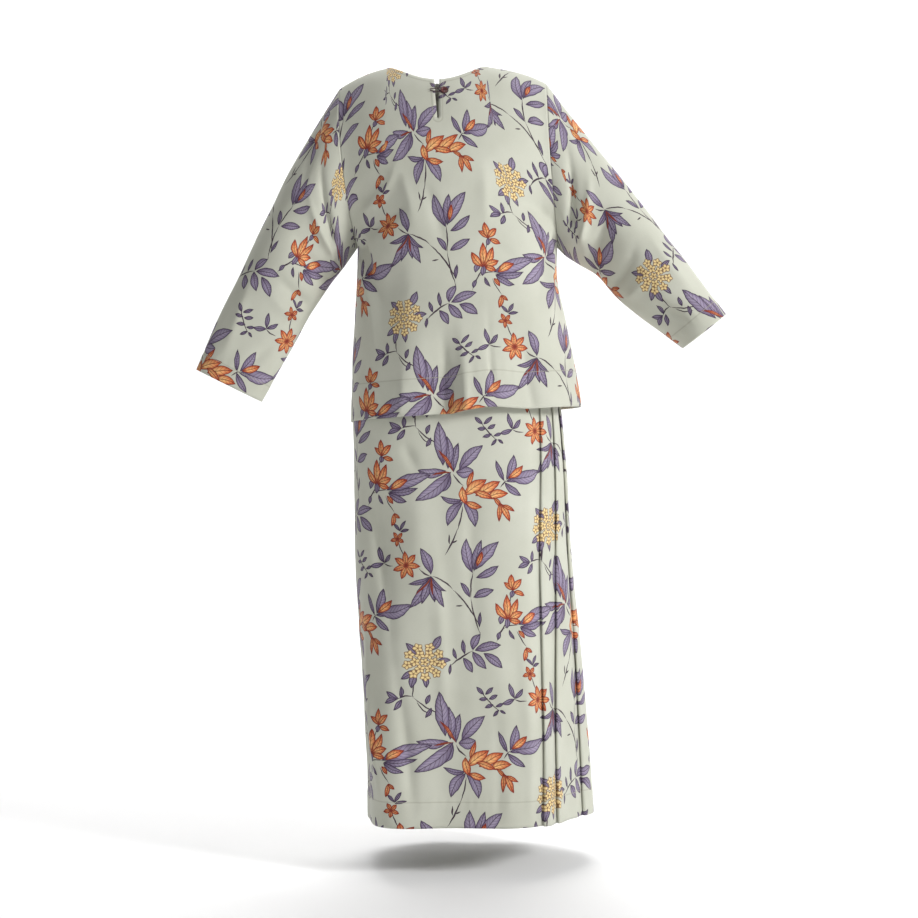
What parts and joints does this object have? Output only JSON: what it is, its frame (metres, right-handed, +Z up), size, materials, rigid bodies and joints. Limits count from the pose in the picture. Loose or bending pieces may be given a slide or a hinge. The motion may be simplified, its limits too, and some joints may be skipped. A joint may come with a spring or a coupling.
{
  "type": "two-piece baju kurung outfit",
  "caption": "Child's worn two-piece outfit: round-neck long-sleeved tunic with a buttoned front slit over a straight ankle-length skirt with side knife pleats, in floral cloth.",
  "frame": {"origin": "base of the wearer's neck, level with the shoulders, where the wearer carries the outfit", "axes": "+Z up, the front faces -Y, the wearer's left is +X"},
  "size_m": [0.672, 0.2536, 0.9608],
  "materials": {
    "printed_cloth": "matte pale sage cloth printed with violet, orange and cream flowers on thin stems",
    "waistband_cloth": "matte pale sage cloth over elastic",
    "plum_button": "dark plum, low sheen",
    "plum_cord": "dark plum twisted cord"
  },
  "bodies": {
    "root": {"tunic_front": "printed_cloth", "tunic_back": "printed_cloth", "sleeve_right": "printed_cloth", "sleeve_left": "printed_cloth", "skirt_front": "printed_cloth", "skirt_back": "printed_cloth", "waistband": "waistband_cloth", "button": "plum_button", "button_loop": "plum_cord"}
  },
  "joints": []
}
